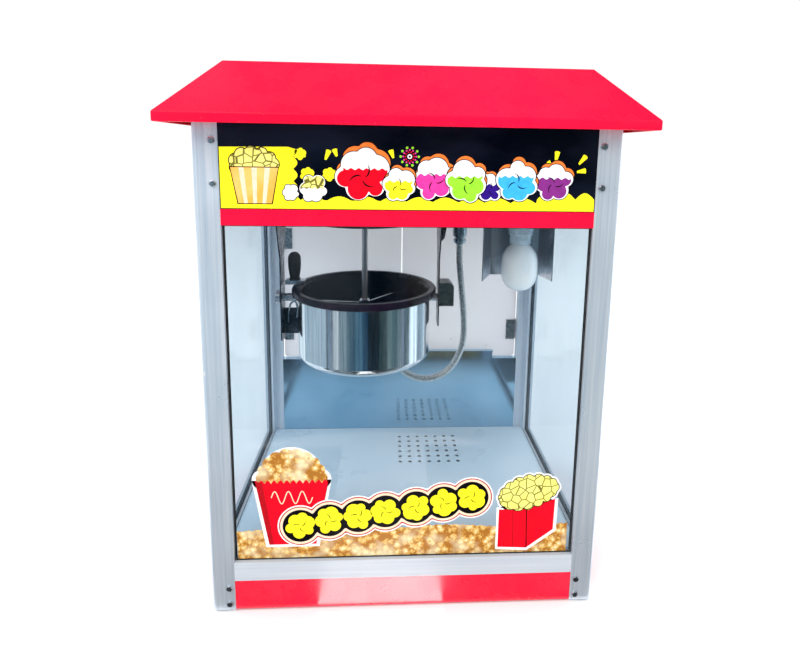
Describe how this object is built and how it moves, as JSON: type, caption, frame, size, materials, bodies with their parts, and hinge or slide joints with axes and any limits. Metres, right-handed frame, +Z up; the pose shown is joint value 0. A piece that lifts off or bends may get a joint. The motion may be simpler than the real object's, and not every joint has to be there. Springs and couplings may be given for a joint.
{
  "type": "popcorn machine",
  "caption": "Countertop popcorn machine: glazed cabinet with a red hip roof, tilting kettle with a driven stirrer, lamp, rear doors and crumb drawer.",
  "frame": {"origin": "on the table under the middle of the cabinet", "axes": "+Z up, +X to the right seen from the front, +Y to the back"},
  "size_m": [0.56, 0.42, 0.696],
  "materials": {
    "post_aluminium": "clear anodised extrusion with fine lengthwise streaks",
    "red_paint": "glossy red stove enamel on sheet steel",
    "sign_print": "gloss printed sheet, black with a yellow band",
    "stainless": "satin brushed stainless sheet",
    "mirror_steel": "mirror polished stainless sheet",
    "floor_sheet": "pale blue-grey film-covered stainless sheet",
    "cabinet_glass": "clear float glass",
    "door_acrylic": "acrylic under a milky protective film",
    "polished_steel": "polished stainless",
    "nonstick": "black-plum non-stick coating",
    "heater_steel": "heat-tinted sheathed element",
    "black_moulding": "black phenolic moulding",
    "rubber": "black rubber",
    "zinc_steel": "zinc plated steel",
    "hanger_steel": "dark bright-rolled steel sheet",
    "shield_enamel": "black enamel",
    "opal_glass": "opal white glass",
    "lamp_holder": "pale grey-blue lamp holder",
    "armour": "flexible steel conduit",
    "connector": "grey connector",
    "brass": "plain brass",
    "motor_metal": "die-cast and plated motor",
    "ceramic": "glazed ceramic",
    "rocker_red": "translucent red rocker"
  },
  "bodies": {
    "root": {"corner_post_front_left": "post_aluminium", "corner_post_front_right": "post_aluminium", "corner_post_rear_left": "post_aluminium", "corner_post_rear_right": "post_aluminium", "post_screws": "zinc_steel", "front_skirt": "red_paint", "side_skirts": "red_paint", "rear_skirt": "red_paint", "front_sill": "post_aluminium", "side_sills": "post_aluminium", "front_head_rail": "red_paint", "side_head_rails": "red_paint", "sign_panel": "sign_print", "side_head_panels": "sign_print", "front_glass": "cabinet_glass", "left_glass": "cabinet_glass", "right_glass": "cabinet_glass", "rubber_feet": "rubber", "base_plate": "stainless", "floor_pan": "floor_sheet", "rear_lower_panel": "mirror_steel", "cord_gland": "black_moulding", "head_floor": "stainless", "control_panel": "stainless", "switch_housings": "black_moulding", "top_plate": "red_paint", "roof": "red_paint", "heat_shield": "shield_enamel", "gearmotor": "motor_metal", "terminal_block": "ceramic", "lamp_socket": "lamp_holder", "lamp_bulb": "opal_glass", "lamp_reflector": "stainless", "hanger_left": "hanger_steel", "hanger_right": "hanger_steel", "bearing_block": "black_moulding", "kettle_catch": "polished_steel", "hose_connector": "connector", "heater_hose": "armour", "post_hinges": "zinc_steel"},
    "kettle": {"kettle_shell": "polished_steel", "kettle_pan": "nonstick", "heating_element": "heater_steel", "kettle_trunnions": "zinc_steel", "handle_arm": "zinc_steel", "handle_grip": "black_moulding", "kettle_gland": "brass"},
    "stirrer": {"stirrer_shaft": "polished_steel", "stirrer_blades": "polished_steel"},
    "drive": {"drive_coupling": "polished_steel"},
    "door_right": {"right_door": "door_acrylic", "right_door_hinges": "zinc_steel", "right_door_knob": "black_moulding"},
    "door_left": {"left_door": "door_acrylic", "left_door_hinges": "zinc_steel", "left_door_knob": "black_moulding"},
    "drawer": {"crumb_drawer": "stainless"},
    "switch_heat": {"rocker_heat": "rocker_red"},
    "switch_motor": {"rocker_motor": "rocker_red"},
    "switch_lamp": {"rocker_lamp": "rocker_red"}
  },
  "joints": [
    {"name": "kettle_tilt", "type": "hinge", "parent": "root", "child": "kettle", "pos_m": [-0.0615, 0.005, 0.371], "axis": [1, 0, 0], "range_deg": [0, 95], "deforming": ["heater_hose"]},
    {"name": "motor_spin", "type": "hinge", "parent": "root", "child": "drive", "pos_m": [-0.0615, 0.005, 0.5], "axis": [0, 0, 1], "continuous": true},
    {"name": "stirrer_spin", "type": "hinge", "parent": "kettle", "child": "stirrer", "pos_m": [-0.0615, 0.005, 0.4], "axis": [0, 0, 1], "continuous": true},
    {"name": "right_door_swing", "type": "hinge", "parent": "root", "child": "door_right", "pos_m": [0.2204, 0.1828, 0.35], "axis": [0, 0, -1], "range_deg": [0, 110]},
    {"name": "left_door_swing", "type": "hinge", "parent": "root", "child": "door_left", "pos_m": [-0.2204, 0.1828, 0.35], "axis": [0, 0, 1], "range_deg": [0, 110]},
    {"name": "drawer_slide", "type": "slide", "parent": "root", "child": "drawer", "axis": [0, 1, 0], "range_m": [0, 0.16]},
    {"name": "heat_switch_press", "type": "hinge", "parent": "root", "child": "switch_heat", "pos_m": [-0.06, 0.1762, 0.569], "axis": [1, 0, 0], "range_deg": [0, 16]},
    {"name": "motor_switch_press", "type": "hinge", "parent": "root", "child": "switch_motor", "pos_m": [0, 0.1762, 0.569], "axis": [1, 0, 0], "range_deg": [0, 16]},
    {"name": "lamp_switch_press", "type": "hinge", "parent": "root", "child": "switch_lamp", "pos_m": [0.06, 0.1762, 0.569], "axis": [1, 0, 0], "range_deg": [0, 16]}
  ],
  "couplings": [
    {"joint": "stirrer_spin", "follows": "motor_spin", "ratio": 1}
  ]
}
